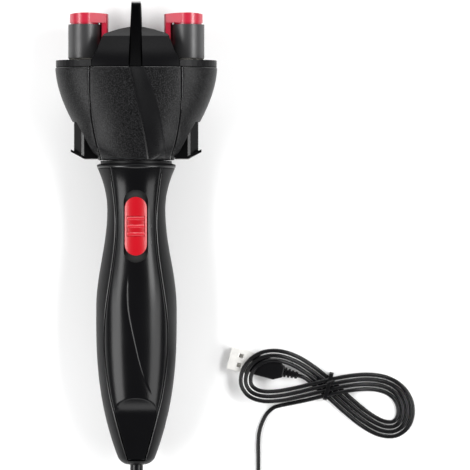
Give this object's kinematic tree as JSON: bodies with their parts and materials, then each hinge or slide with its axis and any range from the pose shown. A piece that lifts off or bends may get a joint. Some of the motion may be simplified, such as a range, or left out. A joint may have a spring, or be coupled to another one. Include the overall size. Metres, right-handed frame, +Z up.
{
  "type": "automatic hair braider",
  "caption": "Corded hand-held hair braider: a slim handle with a slide switch and a turning head that carries two twisting, lifting hooks either side of a fin.",
  "frame": {"origin": "On the surface, under the middle of the tool without its cord", "axes": "+Y from the tail to the fin, +Z up out of the switch face, +X to the right of the switch seen from above"},
  "size_m": [0.1949, 0.3361, 0.052],
  "materials": {
    "black_gloss_plastic": "polished glossy black plastic",
    "black_satin_plastic": "satin black plastic",
    "head_plastic": "fine-grained satin black plastic",
    "barrel_plastic": "satin mid-grey plastic",
    "red_plastic": "glossy raspberry red plastic",
    "inner_plastic": "plain natural nylon",
    "chassis_plastic": "plain dark grey plastic",
    "tray_plastic": "satin grey plastic",
    "board_green": "lacquered circuit board",
    "bush_brass": "plain brass",
    "motor_steel": "plain zinc-plated steel",
    "shaft_steel": "ground steel",
    "cord_rubber": "soft black cord jacket",
    "shell_metal": "bright plated sheet metal"
  },
  "bodies": {
    "handle": {"handle_rear_shell": "black_satin_plastic", "handle_front_panel": "black_gloss_plastic", "neck_collar": "black_satin_plastic", "neck_bush": "inner_plastic", "switch_tray": "tray_plastic", "slide_switch": "motor_steel", "control_board": "board_green", "motor": "motor_steel", "motor_end_cap": "inner_plastic", "gearbox": "chassis_plastic", "handle_screws": "shaft_steel", "strain_relief": "cord_rubber", "cord_lead": "cord_rubber", "cord_hank": "cord_rubber", "cord_tie": "cord_rubber", "plug_body": "cord_rubber", "plug_shell": "shell_metal"},
    "slider": {"switch_slider": "red_plastic", "switch_knob": "inner_plastic"},
    "head": {"head_chassis": "chassis_plastic", "head_front_panel": "head_plastic", "head_rear_panel": "head_plastic", "left_side_cover": "head_plastic", "right_side_cover": "head_plastic", "head_screws": "shaft_steel", "deck_plate": "black_satin_plastic", "dome": "black_satin_plastic", "divider_fin": "black_gloss_plastic", "left_spindle_bush": "bush_brass", "right_spindle_bush": "bush_brass", "one_way_clutch": "motor_steel", "retaining_ring": "shaft_steel"},
    "drive": {"drive_shaft": "shaft_steel", "sun_gear": "inner_plastic"},
    "left_spindle_body": {"left_spindle": "inner_plastic", "left_barrel": "barrel_plastic", "left_hook_spring": "shaft_steel"},
    "left_hook_body": {"left_hook": "red_plastic", "left_hook_rod": "shaft_steel"},
    "left_lever_body": {"left_lever": "black_satin_plastic"},
    "right_spindle_body": {"right_spindle": "inner_plastic", "right_barrel": "barrel_plastic", "right_hook_spring": "shaft_steel"},
    "right_hook_body": {"right_hook": "red_plastic", "right_hook_rod": "shaft_steel"},
    "right_lever_body": {"right_lever": "black_satin_plastic"}
  },
  "joints": [
    {"name": "head_spin", "type": "hinge", "parent": "handle", "child": "head", "pos_m": [0, 0.035, 0.026], "axis": [0, 1, 0], "continuous": true},
    {"name": "drive_spin", "type": "hinge", "parent": "head", "child": "drive", "pos_m": [0, 0.075, 0.026], "axis": [0, 1, 0], "continuous": true},
    {"name": "switch_slide", "type": "slide", "parent": "handle", "child": "slider", "axis": [0, 1, 0], "range_m": [-0.0035, 0.0035]},
    {"name": "left_barrel_spin", "type": "hinge", "parent": "head", "child": "left_spindle_body", "pos_m": [-0.0278, 0.0939, 0.026], "axis": [0, 1, 0], "continuous": true},
    {"name": "left_lever_push", "type": "slide", "parent": "head", "child": "left_lever_body", "axis": [0, 1, 0], "range_m": [0, 0.008], "stiffness_N_per_m": 150, "springref_m": -0.002},
    {"name": "left_hook_lift", "type": "slide", "parent": "left_spindle_body", "child": "left_hook_body", "axis": [0, 1, 0], "range_m": [0, 0.008], "deforming": ["left_hook_spring"]},
    {"name": "right_barrel_spin", "type": "hinge", "parent": "head", "child": "right_spindle_body", "pos_m": [0.0278, 0.0939, 0.026], "axis": [0, 1, 0], "continuous": true},
    {"name": "right_lever_push", "type": "slide", "parent": "head", "child": "right_lever_body", "axis": [0, 1, 0], "range_m": [0, 0.008], "stiffness_N_per_m": 150, "springref_m": -0.002},
    {"name": "right_hook_lift", "type": "slide", "parent": "right_spindle_body", "child": "right_hook_body", "axis": [0, 1, 0], "range_m": [0, 0.008], "deforming": ["right_hook_spring"]}
  ],
  "couplings": [
    {"joint": "left_barrel_spin", "follows": "drive_spin", "ratio": -2.0556},
    {"joint": "left_hook_lift", "follows": "left_lever_push", "ratio": 1},
    {"joint": "right_barrel_spin", "follows": "drive_spin", "ratio": -2.0556},
    {"joint": "right_hook_lift", "follows": "right_lever_push", "ratio": 1}
  ]
}
